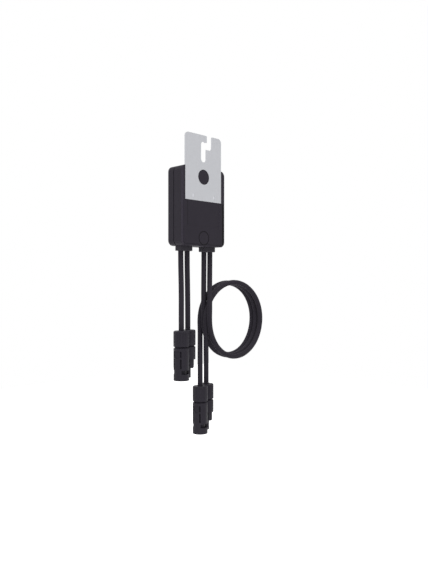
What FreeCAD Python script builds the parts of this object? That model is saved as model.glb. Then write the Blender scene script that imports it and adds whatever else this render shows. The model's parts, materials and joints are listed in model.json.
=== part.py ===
import FreeCAD, Part
import math
import os
import re

import Sketcher
from FreeCAD import Placement, Rotation, Vector

# A solar power optimizer: a flat two-part housing with a sheet metal plate that hangs it from
# a module frame, two cable boots below, two short input cables and two long output cables,
# each ending in a round connector. The output cables are wound into a ring.
# Frame, in millimetres: +X right, +Y to the back, +Z up. The origin is the centre of the
# round top end of the hanging slot, in the plane of the plate's front face.
# Heights in the sizes are counted from the bottom of the housing, depths from its front rim.

SIZES = {
    "hang_rise": (26.9, "centre of the slot's round top end above the housing's top"),
    "housing_width": (71.0, "overall width"),
    "housing_height": (93.0, "overall height of the housing"),
    "front_depth": (12.9, "depth of the front shell, up to the joint"),
    "groove_width": (1.1, "width of the joint's groove"),
    "groove_depth": (0.9, "depth of the joint's groove"),
    "rear_depth": (10.2, "depth of the rear cover behind the groove"),
    "housing_corner": (6.5, "radius of the outline's corners"),
    "front_round": (0.7, "rounding of the front rim"),
    "rear_round": (1.6, "rounding of the rear rim"),
    "wall": (2.0, "side walls and rear wall"),
    "front_wall": (3.5, "front wall, which holds the plate's recess"),
    "lip_length": (2.5, "how far the rear cover's lip reaches into the front shell"),
    "lip_thickness": (1.0, "wall of the lip"),
    "lip_gap": (0.1, "play between the lip and the front shell"),
    "panel_margin": (3.2, "from the housing's side to the raised panel below the plate"),
    "panel_bottom": (2.5, "lower edge of the raised panel"),
    "panel_space": (1.5, "strip between the raised panel and the plate"),
    "panel_raise": (0.4, "how far the panel stands out"),
    "panel_corner": (3.0, "radius of the panel's lower corners"),
    "label_margin": (6.2, "from the panel's side to the label recess"),
    "label_bottom": (23.7, "lower edge of the label recess"),
    "label_depth": (0.3, "depth of the label recess"),
    "label_corner": (2.5, "radius of the label recess's lower corners"),
    "mark_height": (9.6, "centre of the ring-shaped groove"),
    "mark_radius": (8.0, "middle of the ring-shaped groove"),
    "mark_line": (0.5, "width of the ring-shaped groove"),
    "mark_depth": (0.4, "depth of the ring-shaped groove"),
    "plate_margin": (6.1, "from the housing's side to the mounting plate"),
    "plate_bottom": (53.5, "lower edge of the plate"),
    "plate_rise": (11.8, "upper edge of the plate above the slot's round top end"),
    "plate_thickness": (1.5, "sheet thickness"),
    "plate_corner": (5.0, "radius of the plate's upper corners"),
    "plate_gap": (0.15, "play between the plate and its recess"),
    "hole_drop": (11.0, "centre of the plate's round hole below the housing's top"),
    "hole_radius": (8.9, "radius of the plate's round hole"),
    "boss_gap": (0.25, "play between the hole and the boss in it"),
    "slot_radius": (4.3, "half width of the hanging slot"),
    "slot_drop": (16.0, "distance between the centres of the slot's round ends"),
    "entry_offset": (9.4, "sideways distance of the open entry slot"),
    "entry_radius": (4.15, "half width of the entry slot"),
    "entry_drop": (0.85, "centre of the entry slot's round end below the slot's top end"),
    "passage_drop": (4.8, "lower edge of the passage below the slot's top end"),
    "passage_rise": (3.5, "upper edge of the passage above the slot's top end"),
    "mouth_corner": (1.2, "rounding of the corners at the entry slot's mouth"),
    "tongue_corner": (0.8, "rounding of the tongue between the slots"),
    "flange_margin": (4.4, "from the plate's side to its bent lower edge"),
    "flange_depth": (2.6, "how far the bent edge reaches into the housing"),
    "dimple_offset": (17.0, "sideways distance of the two pressed dimples"),
    "dimple_width": (2.5, "pressed dimple"),
    "dimple_height": (5.3, "pressed dimple"),
    "dimple_rise": (5.5, "middle of the dimples above the plate's lower edge"),
    "dimple_depth": (0.15, "depth of the dimples"),
    "boot_margin": (16.5, "from the housing's side to the middle of a cable boot"),
    "boot_middle": (14.0, "depth of the boots' middle"),
    "boot_width": (19.0, "cable boot"),
    "boot_depth": (11.0, "cable boot"),
    "boot_drop": (5.7, "how far the boot stands out below the housing"),
    "boot_inset": (1.0, "step from the boot's body to its neck in the wall"),
    "boot_flange": (2.0, "thickness of the boot's inner flange"),
    "boot_corner": (1.6, "radius of the boot's upright edges"),
    "cable_radius": (3.15, "outer radius of the cables"),
    "cable_pitch": (10.1, "distance between the two cables of a boot"),
    "cable_inside": (9.0, "height at which a cable ends inside the housing"),
    "lead_length": (16.0, "straight run of a cable above its connector"),
    "nut_radius": (9.25, "cap nut"),
    "nut_length": (18.0, "straight part of the cap nut"),
    "nut_taper": (1.3, "tapered end of the cap nut"),
    "nut_dome": (1.6, "rounding of the cap nut's top"),
    "nut_top": (2.4, "thickness of the cap nut's top"),
    "nut_play": (0.1, "play between the cap nut and the threaded neck"),
    "nut_hole_play": (0.35, "play between the cable and the cap nut's hole"),
    "flute_radius": (0.7, "radius of the grip flutes"),
    "flute_depth": (0.3, "depth of the grip flutes"),
    "flute_start": (2.0, "distance of the grip flutes from the nut's top"),
    "flute_length": (12.0, "length of the grip flutes"),
    "neck_waist": (7.6, "radius at the waist between nut and body"),
    "neck_radius": (6.8, "outer radius of the threaded neck"),
    "neck_bore": (5.1, "inner radius of the threaded neck"),
    "neck_start": (9.0, "top of the threaded neck below the nut's top"),
    "seal_length": (7.8, "rubber seal around the cable"),
    "stop_length": (4.0, "bore that holds the cable's end"),
    "body_radius": (9.15, "outer radius of the connector's body"),
    "body_shoulder": (1.2, "height of the body's sloping shoulder"),
    "sleeve_length": (57.8, "end of the sleeve body below the nut's top"),
    "sleeve_wall": (1.5, "wall of the sleeve"),
    "gap_start": (33.0, "end of the ring-shaped gap below the nut's top"),
    "barrel_radius": (5.9, "outer radius of the barrel inside the sleeve"),
    "barrel_end": (55.0, "end of the barrel below the nut's top"),
    "barrel_play": (0.2, "play between the barrel's bore and the nose that goes into it"),
    "bore_start": (35.0, "end of the barrel's bore below the nut's top"),
    "slit_width": (1.6, "narrow slits in the sleeve"),
    "slit_offset": (4.4, "sideways distance of the slits from the middle of their strip"),
    "slit_top": (32.5, "slit through the sleeve below the thumb recess"),
    "slit_end": (43.6, "slit through the sleeve below the thumb recess"),
    "slit_floor": (5.0, "distance of the slits' floor from the axis"),
    "line_top": (23.6, "groove beside the thumb recess"),
    "line_end": (30.7, "groove beside the thumb recess"),
    "line_floor": (6.4, "distance of the grooves' floor from the axis"),
    "window_top": (45.8, "latch window in the sleeve"),
    "window_end": (50.3, "latch window in the sleeve"),
    "window_angle": (110.0, "width of a latch window"),
    "thumb_width": (6.0, "thumb recess"),
    "thumb_top": (23.6, "thumb recess"),
    "thumb_round": (28.9, "centre of the thumb recess's round end"),
    "thumb_floor": (8.4, "distance of the thumb recess's floor from the axis"),
    "contact_radius": (2.2, "metal contact's crimp barrel"),
    "contact_play": (0.1, "play around the contacts"),
    "pin_radius": (2.0, "contact pin"),
    "pin_end": (51.0, "end of the pin below the nut's top"),
    "pin_tip": (1.0, "cone at the end of the pin"),
    "plug_shoulder": (35.0, "end of the plug body's thick part below the nut's top"),
    "nose_radius": (3.6, "outer radius of the plug's nose"),
    "nose_end": (57.1, "end of the nose below the nut's top"),
    "nose_lip": (1.3, "lip at the end of the nose"),
    "socket_radius": (2.8, "outer radius of the socket contact"),
    "socket_play": (0.15, "play between the pin and the socket's hole"),
    "socket_depth": (18.0, "depth of the socket's hole"),
    "finger_width": (5.8, "latch finger"),
    "finger_thickness": (1.25, "latch finger"),
    "finger_end": (45.4, "end of the fingers below the nut's top"),
    "finger_play": (0.08, "play between the fingers and the ring-shaped gap"),
    "nose_seal_start": (1.3, "rubber ring on the nose, below the body's thick part"),
    "nose_seal_length": (2.6, "rubber ring on the nose"),
    "nose_seal_thickness": (1.2, "rubber ring on the nose"),
    "input_nut_drop": (99.5, "top of the input connectors below the housing"),
    "output_nut_drop": (169.4, "top of the output connectors below the housing"),
    "coil_radius": (47.0, "middle of the wound cable ring"),
    "coil_across": (65.0, "sideways position of the ring's centre"),
    "coil_drop": (89.6, "ring's centre below the housing"),
    "coil_front": (4.1, "front face of the front winding"),
    "coil_middle": (17.0, "plane between the two windings"),
    "coil_back": (29.7, "rear face of the rear winding"),
    "coil_edge": (2.0, "bevel of the windings' edges"),
    "board_thickness": (1.6, "circuit board"),
    "board_margin": (5.5, "from the housing's side to the circuit board"),
    "board_bottom": (11.0, "lower edge of the circuit board"),
    "board_drop": (5.0, "upper edge of the circuit board below the housing's top"),
    "post_length": (4.6, "posts that carry the board"),
    "post_radius": (2.8, "posts that carry the board"),
    "post_inset": (3.4, "distance of the posts from the board's edges"),
    "screw_radius": (1.2, "board screws"),
    "screw_length": (4.5, "board screws, below the head"),
    "screw_head_radius": (2.1, "board screws"),
    "screw_head_height": (1.2, "board screws"),
    "spreader_thickness": (1.4, "heat spreader on the rear wall"),
    "spreader_margin": (8.0, "from the board's side to the heat spreader"),
    "spreader_rise": (17.0, "lower edge of the heat spreader above the board's"),
    "spreader_drop": (12.0, "upper edge of the heat spreader below the board's"),
    "transistor_width": (9.0, "power transistor"),
    "transistor_height": (10.0, "power transistor"),
    "transistor_thickness": (2.2, "power transistor"),
    "transistor_pitch": (20.0, "distance between the transistors' middles"),
    "core_radius": (12.0, "inductor core"),
    "core_hole": (6.0, "hole of the inductor core"),
    "core_length": (7.0, "height of the inductor core"),
    "core_margin": (2.7, "from the board's side to the inductor's winding"),
    "core_drop": (3.7, "the inductor's winding below the board's upper edge"),
    "winding_wire": (1.3, "thickness of the winding"),
    "film_width": (7.0, "film capacitor"),
    "film_height": (18.0, "film capacitor"),
    "film_depth": (9.0, "film capacitor"),
    "film_gap": (0.4, "between the film capacitors"),
    "film_margin": (6.0, "from the board's side to the first film capacitor"),
    "film_rise": (9.0, "film capacitors above the board's lower edge"),
    "can_radius": (4.0, "bulk capacitor"),
    "can_length": (13.5, "bulk capacitor"),
    "can_gap": (1.0, "between the bulk capacitors"),
    "can_margin": (6.0, "from the board's side to the bulk capacitors"),
    "can_rise": (9.5, "lower bulk capacitor above the board's lower edge"),
    "chip_size": (9.0, "controller chip"),
    "chip_thickness": (1.2, "controller chip"),
    "chip_margin": (8.0, "from the board's side to the controller chip"),
    "terminal_width": (6.0, "cable terminals"),
    "terminal_height": (9.0, "cable terminals"),
    "terminal_drop": (2.0, "how far a terminal reaches below the board"),
}
FLUTES = 16
CLAMP_SLITS = 6
TURNS = 14

# Formulas of sizes that several pieces share

HANG = "(housing_height + hang_rise)"
PANEL_SIDE = "(housing_width / 2 - panel_margin)"
PANEL_TOP = "(plate_bottom - panel_space)"
PLATE_SIDE = "(housing_width / 2 - plate_margin)"
PLATE_TOP = "(%s + plate_rise)" % HANG
HOLE_UP = "(housing_height - hole_drop)"
FLANGE_SIDE = "(housing_width / 2 - plate_margin - flange_margin)"
BOOT_OFFSET = "(housing_width / 2 - boot_margin)"
BOARD_SIDE = "(housing_width / 2 - board_margin)"
BOARD_TOP = "(housing_height - board_drop)"

doc = FreeCAD.newDocument("power_optimizer")
sheet = doc.addObject("Spreadsheet::Sheet", "Sizes")
for row, (name, (number, meaning)) in enumerate(SIZES.items(), 1):
    sheet.set("A%d" % row, name)
    sheet.set("B%d" % row, str(number))
    sheet.set("C%d" % row, meaning)
    sheet.setAlias("B%d" % row, name)
doc.recompute()


def size(name):
    return float(sheet.get(name))


def cells(text):
    """Turns the names of sizes in a formula into references to the sheet."""
    def reference(found):
        word = found.group(0)
        return "Sizes." + word if word in SIZES else word
    return re.sub(r"[a-z][a-z_]*", reference, text)


def bind(thing, **formulas):
    """Binds properties, such as Length or Placement_Base_x, to formulas of the sizes."""
    for name, formula in formulas.items():
        thing.setExpression(name.replace("_", "."), cells(formula))


nodes = []


def node(thing, label):
    thing.Label = label
    nodes.append(thing)
    return thing


# Sketches and features of the bodies

def new_body(name):
    """A body whose heights count from the housing's bottom."""
    body = doc.addObject("PartDesign::Body", name)
    bind(body, Placement_Base_z="-" + HANG)
    return body


def origin_part(body, role):
    return [part for part in body.Origin.OriginFeatures if part.Role == role][0]


def sketch(body, name, plane="XZ_Plane", depth="0", turn=0.0):
    """A sketch on one of the body's planes, moved by depth along the plane's normal.

    The upright plane XZ faces the front. With a turn, in degrees, it faces round the Z axis."""
    drawing = body.newObject("Sketcher::SketchObject", name)
    drawing.AttachmentSupport = [(origin_part(body, plane), "")]
    drawing.MapMode = "FlatFace"
    if turn:
        drawing.AttachmentOffset = Placement(Vector(), Rotation(Vector(0, 1, 0), turn))
    if turn:
        sideways = math.sin(math.radians(turn))
        bind(drawing, AttachmentOffset_Base_x="(%s) * %.9f" % (depth, sideways))
    outward = math.cos(math.radians(turn))
    bind(drawing, AttachmentOffset_Base_z="(%s) * %.9f" % (depth, outward))
    return drawing


def value(drawing, formula):
    return float(drawing.evalExpression(cells(formula)))


def measure(drawing, kind, where, formula):
    """Adds a measured constraint that is bound to a formula."""
    now = value(drawing, formula)
    number = drawing.addConstraint(Sketcher.Constraint(kind, *where, now))
    drawing.setExpression("Constraints[%d]" % number, cells(formula))


def place_point(drawing, geometry, end, across, up):
    """Places a point of a line, arc or circle by two formulas."""
    measure(drawing, "DistanceX", (-1, 1, geometry, end), across)
    measure(drawing, "DistanceY", (-1, 1, geometry, end), up)


def polygon(drawing, points):
    """Adds a closed outline. Each corner is placed by two formulas."""
    first = drawing.GeometryCount
    count = len(points)
    corners = [Vector(value(drawing, across), value(drawing, up), 0) for across, up in points]
    for index in range(count):
        line = Part.LineSegment(corners[index], corners[(index + 1) % count])
        drawing.addGeometry(line, False)
    for index in range(count):
        following = first + (index + 1) % count
        drawing.addConstraint(Sketcher.Constraint("Coincident", first + index, 2, following, 1))
    for index, (across, up) in enumerate(points):
        place_point(drawing, first + index, 1, across, up)


def rectangle(drawing, left, right, low, high):
    polygon(drawing, [(left, low), (right, low), (right, high), (left, high)])


def rounded_rectangle(drawing, left, right, low, high, radius):
    """Adds a closed outline of four sides and four corner arcs of one radius."""
    inner_left = "(%s) + (%s)" % (left, radius)
    inner_right = "(%s) - (%s)" % (right, radius)
    inner_low = "(%s) + (%s)" % (low, radius)
    inner_high = "(%s) - (%s)" % (high, radius)
    sides = [
        ((inner_left, low), (inner_right, low)),
        ((right, inner_low), (right, inner_high)),
        ((inner_right, high), (inner_left, high)),
        ((left, inner_high), (left, inner_low)),
    ]
    centres = [(inner_right, inner_low), (inner_right, inner_high),
               (inner_left, inner_high), (inner_left, inner_low)]
    first = drawing.GeometryCount
    for start, end in sides:
        ends = [Vector(value(drawing, across), value(drawing, up), 0)
                for across, up in (start, end)]
        drawing.addGeometry(Part.LineSegment(*ends), False)
    for index, (across, up) in enumerate(centres):
        turn = math.radians(90 * index - 90)
        middle = Vector(value(drawing, across), value(drawing, up), 0)
        ring = Part.Circle(middle, Vector(0, 0, 1), value(drawing, radius))
        drawing.addGeometry(Part.ArcOfCircle(ring, turn, turn + math.pi / 2), False)
    for index in range(4):
        side = first + index
        following = first + (index + 1) % 4
        arc = first + 4 + index
        drawing.addConstraint(Sketcher.Constraint("Coincident", side, 2, arc, 1))
        drawing.addConstraint(Sketcher.Constraint("Coincident", arc, 2, following, 1))
    for index, (start, end) in enumerate(sides):
        place_point(drawing, first + index, 1, *start)
        place_point(drawing, first + index, 2, *end)
        measure(drawing, "Radius", (first + 4 + index,), radius)


def circle(drawing, across, up, radius):
    middle = Vector(value(drawing, across), value(drawing, up), 0)
    ring = Part.Circle(middle, Vector(0, 0, 1), value(drawing, radius))
    number = drawing.addGeometry(ring, False)
    place_point(drawing, number, 3, across, up)
    measure(drawing, "Radius", (number,), radius)


def feature(body, kind, name, drawing, formulas, reverse=False):
    made = body.newObject("PartDesign::" + kind, name)
    made.Profile = drawing
    made.Reversed = reverse
    bind(made, **formulas)
    drawing.Visibility = False
    return made


def pad(body, name, drawing, length, reverse=False):
    """From the upright plane a pad grows to the front, and reversed to the back."""
    return feature(body, "Pad", name, drawing, {"Length": length}, reverse)


def pocket(body, name, drawing, length, reverse=False):
    """From the upright plane a pocket cuts to the back, and reversed to the front."""
    return feature(body, "Pocket", name, drawing, {"Length": length}, reverse)


def turned(body, name, points):
    """A solid of revolution about the body's Z axis, from (radius, height) corners."""
    drawing = sketch(body, name + "_profile")
    polygon(drawing, points)
    made = body.newObject("PartDesign::Revolution", name)
    made.Profile = drawing
    made.ReferenceAxis = (drawing, ["V_Axis"])
    made.Angle = 360
    return made


def repeat(body, name, original, count):
    """Repeats a feature about the body's Z axis."""
    pattern = body.newObject("PartDesign::PolarPattern", name)
    pattern.Originals = [original]
    pattern.Axis = (origin_part(body, "Z_Axis"), [""])
    pattern.Angle = 360
    pattern.Occurrences = count
    body.Tip = pattern
    return pattern


def edges_where(base, rule):
    """Names of the edges whose middle and direction fit a rule."""
    doc.recompute()
    names = []
    for number, edge in enumerate(base.Shape.Edges, 1):
        middle = edge.valueAt((edge.FirstParameter + edge.LastParameter) / 2)
        start = edge.valueAt(edge.FirstParameter)
        end = edge.valueAt(edge.LastParameter)
        if rule(middle, end - start):
            names.append("Edge%d" % number)
    return names


def near(first, second):
    return abs(first - second) < 0.01


def along(direction, axis):
    """True for a straight run along one axis."""
    others = [direction[i] for i in range(3) if i != axis]
    return abs(direction[axis]) > 0.01 and all(abs(value) < 0.001 for value in others)


def rounded(body, name, base, rule, radius):
    made = body.newObject("PartDesign::Fillet", name)
    made.Base = (base, edges_where(base, rule))
    bind(made, Radius=radius)
    return made


# Plain solids, placed in the part's own frame

def block(name, across, deep, up):
    """A box from three pairs of formulas."""
    box = doc.addObject("Part::Box", name)
    bind(box,
         Length="(%s) - (%s)" % (across[1], across[0]),
         Width="(%s) - (%s)" % (deep[1], deep[0]),
         Height="(%s) - (%s)" % (up[1], up[0]),
         Placement_Base_x=across[0],
         Placement_Base_y=deep[0],
         Placement_Base_z="(%s) - %s" % (up[0], HANG))
    return box


LYING = {
    "X": Rotation(Vector(0, 1, 0), 90),
    "Y": Rotation(Vector(1, 0, 0), -90),
    "Z": Rotation(),
}


def rod(name, radius, length, start, axis):
    """A cylinder that starts at a point and runs along one axis."""
    made = doc.addObject("Part::Cylinder", name)
    made.Placement = Placement(Vector(), LYING[axis])
    bind(made, Radius=radius, Height=length,
         Placement_Base_x=start[0],
         Placement_Base_y=start[1],
         Placement_Base_z="(%s) - %s" % (start[2], HANG))
    return made


def cut(name, base, tool):
    made = doc.addObject("Part::Cut", name)
    made.Base = base
    made.Tool = tool
    return made


def together(kind, name, parts):
    """kind is MultiFuse for one solid and Compound for separate ones."""
    made = doc.addObject("Part::" + kind, name)
    if kind == "MultiFuse":
        made.Shapes = parts
    else:
        made.Links = parts
    return made


# Housing

FRONT = "front_depth"
REAR_START = "(front_depth + groove_width)"
INNER_REAR = "(front_depth + groove_width + rear_depth - wall)"


def outline(drawing, inset):
    rounded_rectangle(drawing,
                      "-housing_width / 2 + (%s)" % inset, "housing_width / 2 - (%s)" % inset,
                      inset, "housing_height - (%s)" % inset, "housing_corner - (%s)" % inset)


def boot_rectangles(drawing, inset, low, high):
    """Both boots' outlines seen from above, between two depths."""
    for side in ("-", "+"):
        middle = side + BOOT_OFFSET
        rectangle(drawing, "%s - boot_width / 2 + (%s)" % (middle, inset),
                  "%s + boot_width / 2 - (%s)" % (middle, inset), low, high)


def front_shell():
    body = new_body("front_shell")
    drawing = sketch(body, "shell_outline")
    outline(drawing, "0")
    shell = pad(body, "shell", drawing, FRONT, reverse=True)
    rounded(body, "shell_rim", shell,
            lambda middle, direction: near(middle.y, 0), "front_round")

    drawing = sketch(body, "cavity_outline", depth="-front_depth")
    outline(drawing, "wall")
    pocket(body, "cavity", drawing, "front_depth - front_wall", reverse=True)

    drawing = sketch(body, "panel_outline")
    rectangle(drawing, "-" + PANEL_SIDE, PANEL_SIDE, "panel_bottom", PANEL_TOP)
    panel = pad(body, "panel", drawing, "panel_raise")
    low = size("panel_bottom")
    side = size("housing_width") / 2 - size("panel_margin")
    rounded(body, "panel_corners", panel,
            lambda middle, direction: along(direction, 1) and near(middle.z, low)
            and near(abs(middle.x), side), "panel_corner")

    drawing = sketch(body, "label_outline", depth="panel_raise")
    rectangle(drawing, "-%s + label_margin" % PANEL_SIDE, "%s - label_margin" % PANEL_SIDE,
              "label_bottom", "%s + 1" % PANEL_TOP)
    label = pocket(body, "label", drawing, "label_depth")
    low_label = size("label_bottom")
    rounded(body, "label_corners", label,
            lambda middle, direction: along(direction, 1) and near(middle.z, low_label),
            "label_corner")

    drawing = sketch(body, "mark_rings", depth="panel_raise")
    circle(drawing, "0", "mark_height", "mark_radius + mark_line / 2")
    circle(drawing, "0", "mark_height", "mark_radius - mark_line / 2")
    pocket(body, "mark", drawing, "mark_depth")

    drawing = sketch(body, "seat_outline")
    rectangle(drawing, "-%s - plate_gap" % PLATE_SIDE, "%s + plate_gap" % PLATE_SIDE,
              "plate_bottom - plate_gap", "housing_height + 1")
    pocket(body, "seat", drawing, "plate_thickness")

    drawing = sketch(body, "boss_circle", depth="-plate_thickness")
    circle(drawing, "0", HOLE_UP, "hole_radius - boss_gap")
    pad(body, "boss", drawing, "plate_thickness")

    drawing = sketch(body, "flange_case_outline", depth="-front_wall")
    rectangle(drawing, "-%s - wall" % FLANGE_SIDE, "%s + wall" % FLANGE_SIDE,
              "plate_bottom - wall", "plate_bottom + plate_thickness + wall")
    pad(body, "flange_case", drawing,
        "plate_thickness + flange_depth + wall - front_wall", reverse=True)
    drawing = sketch(body, "flange_slot_outline", depth="-plate_thickness")
    rectangle(drawing, "-%s - plate_gap" % FLANGE_SIDE, "%s + plate_gap" % FLANGE_SIDE,
              "plate_bottom - plate_gap", "plate_bottom + plate_thickness + plate_gap")
    pocket(body, "flange_slot", drawing, "flange_depth + plate_gap")

    drawing = sketch(body, "boot_notches", "XY_Plane", "wall + 1")
    boot_rectangles(drawing, "boot_inset", "boot_middle - boot_depth / 2 + boot_inset",
                    "front_depth + 1")
    pocket(body, "boot_openings", drawing, "wall + 2")
    return node(body, "front_shell")


def post_places():
    """Centres of the four board posts, as pairs of formulas."""
    places = []
    for side in ("-", ""):
        across = "%s(%s - post_inset)" % (side, BOARD_SIDE)
        places.append((across, "board_bottom + post_inset + terminal_height"))
        places.append((across, "%s - post_inset" % BOARD_TOP))
    return places


def rear_cover():
    body = new_body("rear_cover")
    drawing = sketch(body, "cover_outline", depth="-" + REAR_START)
    outline(drawing, "0")
    cover = pad(body, "cover", drawing, "rear_depth", reverse=True)
    back = size("front_depth") + size("groove_width") + size("rear_depth")
    rounded(body, "cover_rim", cover,
            lambda middle, direction: near(middle.y, back), "rear_round")

    drawing = sketch(body, "groove_outline", depth="-front_depth")
    outline(drawing, "groove_depth")
    pad(body, "groove_floor", drawing, "groove_width", reverse=True)

    drawing = sketch(body, "lip_outline", depth="-front_depth")
    outline(drawing, "wall + lip_gap")
    pad(body, "lip", drawing, "lip_length")

    drawing = sketch(body, "inside_outline", depth="-front_depth + lip_length")
    outline(drawing, "wall + lip_gap + lip_thickness")
    pocket(body, "inside", drawing, "lip_length + groove_width + rear_depth - wall")

    drawing = sketch(body, "post_circles", depth="-" + INNER_REAR)
    for across, up in post_places():
        circle(drawing, across, up, "post_radius")
    pad(body, "posts", drawing, "post_length")
    drawing = sketch(body, "pilot_circles", depth="-%s + post_length" % INNER_REAR)
    for across, up in post_places():
        circle(drawing, across, up, "screw_radius")
    pocket(body, "pilot_holes", drawing, "screw_length - board_thickness")

    drawing = sketch(body, "boot_notches", "XY_Plane", "wall + 1")
    boot_rectangles(drawing, "boot_inset", "front_depth - lip_length - 1",
                    "boot_middle + boot_depth / 2 - boot_inset")
    pocket(body, "boot_openings", drawing, "wall + 2")
    drawing = sketch(body, "boot_rooms", "XY_Plane", "wall + boot_flange + lip_thickness")
    boot_rectangles(drawing, "-lip_gap", "front_depth - lip_length - 1",
                    "boot_middle + boot_depth / 2 + lip_gap")
    pocket(body, "boot_flange_rooms", drawing, "boot_flange + lip_thickness")
    return node(body, "rear_cover")


def mounting_plate():
    body = new_body("mounting_plate")
    drawing = sketch(body, "sheet_outline")
    rectangle(drawing, "-" + PLATE_SIDE, PLATE_SIDE, "plate_bottom", PLATE_TOP)
    plate = pad(body, "sheet", drawing, "plate_thickness", reverse=True)
    hang = size("housing_height") + size("hang_rise")
    top = hang + size("plate_rise")
    rounded(body, "sheet_corners", plate,
            lambda middle, direction: along(direction, 1) and near(middle.z, top),
            "plate_corner")

    drawing = sketch(body, "hole_circle")
    circle(drawing, "0", HOLE_UP, "hole_radius")
    pocket(body, "hole", drawing, "plate_thickness")

    slot_bottom = "%s - slot_drop" % HANG
    drawing = sketch(body, "slot_outline")
    rectangle(drawing, "-slot_radius", "slot_radius", slot_bottom, HANG)
    pocket(body, "slot", drawing, "plate_thickness")
    for name, up in (("slot_bottom", slot_bottom), ("slot_top", HANG)):
        drawing = sketch(body, name + "_circle")
        circle(drawing, "0", up, "slot_radius")
        pocket(body, name, drawing, "plate_thickness")
    entry_bottom = "%s - entry_drop" % HANG
    drawing = sketch(body, "entry_outline")
    rectangle(drawing, "entry_offset - entry_radius", "entry_offset + entry_radius",
              entry_bottom, "%s + 1" % PLATE_TOP)
    pocket(body, "entry", drawing, "plate_thickness")
    drawing = sketch(body, "entry_bottom_circle")
    circle(drawing, "entry_offset", entry_bottom, "entry_radius")
    pocket(body, "entry_bottom", drawing, "plate_thickness")
    drawing = sketch(body, "passage_outline")
    rectangle(drawing, "0", "entry_offset", "%s - passage_drop" % HANG,
              "%s + passage_rise" % HANG)
    passage = pocket(body, "passage", drawing, "plate_thickness")
    mouth = rounded(body, "mouth_corners", passage,
                    lambda middle, direction: along(direction, 1) and near(middle.z, top)
                    and near(abs(middle.x - size("entry_offset")), size("entry_radius")),
                    "mouth_corner")
    tongue_side = size("entry_offset") - size("entry_radius")
    rounded(body, "tongue_tip", mouth,
            lambda middle, direction: along(direction, 1)
            and near(middle.z, hang + size("passage_rise")) and near(middle.x, tongue_side),
            "tongue_corner")

    drawing = sketch(body, "flange_outline", depth="-plate_thickness")
    rectangle(drawing, "-" + FLANGE_SIDE, FLANGE_SIDE,
              "plate_bottom", "plate_bottom + plate_thickness")
    pad(body, "flange", drawing, "flange_depth", reverse=True)

    drawing = sketch(body, "dimple_outlines")
    for side in ("-", "+"):
        rectangle(drawing,
                  "%s dimple_offset - dimple_width / 2" % side,
                  "%s dimple_offset + dimple_width / 2" % side,
                  "plate_bottom + dimple_rise - dimple_height / 2",
                  "plate_bottom + dimple_rise + dimple_height / 2")
    pocket(body, "dimples", drawing, "dimple_depth")
    return node(body, "mounting_plate")


def cable_boot(label, side):
    body = new_body(label)
    middle = side + BOOT_OFFSET
    front = "boot_middle - boot_depth / 2"
    back = "boot_middle + boot_depth / 2"
    left = "%s - boot_width / 2" % middle
    right = "%s + boot_width / 2" % middle

    drawing = sketch(body, "outer_outline", "XY_Plane")
    rectangle(drawing, left, right, front, back)
    outer = pad(body, "outer", drawing, "boot_drop", reverse=True)
    outer = rounded(body, "outer_corners", outer,
                    lambda place, direction: along(direction, 2), "boot_corner")
    low = -size("boot_drop")
    rounded(body, "outer_rim", outer, lambda place, direction: near(place.z, low),
            "boot_corner / 2")

    drawing = sketch(body, "neck_outline", "XY_Plane")
    rectangle(drawing, left + " + boot_inset", right + " - boot_inset",
              front + " + boot_inset", back + " - boot_inset")
    pad(body, "neck", drawing, "wall")
    drawing = sketch(body, "inner_outline", "XY_Plane", "wall")
    rectangle(drawing, left, right, front, back)
    pad(body, "inner_flange", drawing, "boot_flange")

    drawing = sketch(body, "cable_circles", "XY_Plane", "wall + boot_flange")
    for shift in ("-", "+"):
        circle(drawing, "%s %s cable_pitch / 2" % (middle, shift), "boot_middle", "cable_radius")
    pocket(body, "cable_holes", drawing, "wall + boot_flange + boot_drop + 1")
    return node(body, label)


# Connectors. Each body's own Z axis is the cable's axis and its zero is the nut's top.

CONNECTORS = {
    "input_sleeve": ("sleeve", Vector(-26.25, 10.45, 0), "input_nut_drop", 15.0),
    "input_plug": ("plug", Vector(-9.2, 17.9, 0), "input_nut_drop", 0.0),
    "output_sleeve": ("sleeve", Vector(12.65, 19.35, 0), "output_nut_drop", 15.0),
    "output_plug": ("plug", Vector(30.0, 26.5, 0), "output_nut_drop", 0.0),
}
CABLE_END = "(neck_start + seal_length + stop_length)"


def connector_body(connector, label):
    """A body on a connector's axis, turned about it."""
    kind, place, drop, turn = CONNECTORS[connector]
    body = doc.addObject("PartDesign::Body", connector + "_" + label)
    body.Placement = Placement(place, Rotation(Vector(0, 0, 1), turn))
    bind(body, Placement_Base_z="-%s - %s" % (drop, HANG))
    return body


def cap_nut(connector):
    body = connector_body(connector, "cap_nut")
    hole = "cable_radius + nut_hole_play"
    inner = "neck_radius + nut_play"
    end = "-nut_length - nut_taper"
    nut = turned(body, "nut", [
        (hole, "0"), ("nut_radius", "0"), ("nut_radius", "-nut_length"),
        ("neck_waist", end), (inner, end), (inner, "-nut_top - nut_dome"),
        (hole, "-nut_top")])
    edge = size("nut_radius")
    nut = rounded(body, "nut_top_edge", nut,
                  lambda middle, direction: near(middle.z, 0)
                  and near(math.hypot(middle.x, middle.y), edge), "nut_dome")
    drawing = sketch(body, "flute_circle", "XY_Plane", "-flute_start")
    circle(drawing, "nut_radius + flute_radius - flute_depth", "0", "flute_radius")
    flute = pocket(body, "flute", drawing, "flute_length")
    repeat(body, "flutes", flute, FLUTES)
    return node(body, connector + "_cap_nut")


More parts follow.
